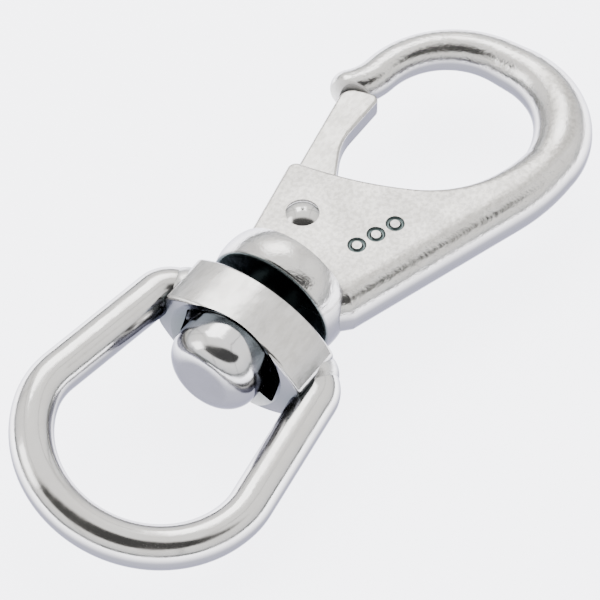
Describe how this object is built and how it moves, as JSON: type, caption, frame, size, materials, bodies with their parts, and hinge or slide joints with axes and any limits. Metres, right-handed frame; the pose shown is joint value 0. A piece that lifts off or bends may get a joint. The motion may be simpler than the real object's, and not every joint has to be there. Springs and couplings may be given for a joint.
{
  "type": "swivel eye snap hook",
  "caption": "Stainless swivel snap hook: a cast hook with a riveted, sprung lever gate, and a welded oval eye that turns freely on a headed stud",
  "frame": {"origin": "centre of the eye's round end, on the swivel axis", "axes": "+X along the swivel axis from the eye towards the hook, +Z normal to the hook's flat cheeks, +Y towards the gate"},
  "size_m": [0.0892, 0.0346, 0.0166],
  "materials": {
    "cast_body": "satin cast",
    "gate_plate": "satin",
    "polished_rod": "polished",
    "polished_stud": "polished",
    "hub_steel": "polished",
    "weld_bead": "as welded",
    "rivet_steel": "polished",
    "spring_wire": "drawn wire"
  },
  "bodies": {
    "hook": {"hook_body": "cast_body", "swivel_stud": "polished_stud", "gate_rivet": "rivet_steel", "gate_spring": "spring_wire"},
    "gate": {"gate_lever": "gate_plate"},
    "eye": {"eye_ring": "polished_rod", "eye_hub": "hub_steel", "gate_side_weld": "weld_bead", "spine_side_weld": "weld_bead"}
  },
  "joints": [
    {"name": "gate_hinge", "type": "hinge", "parent": "hook", "child": "gate", "pos_m": [0.0348, 0.00315, 0], "axis": [0, 0, 1], "range_deg": [-32, 0], "stiffness_Nm_per_rad": 0.03, "springref_deg": 22.92, "deforming": ["gate_spring"]},
    {"name": "eye_swivel", "type": "hinge", "parent": "hook", "child": "eye", "pos_m": [0.018, 0, 0], "axis": [1, 0, 0], "continuous": true}
  ]
}
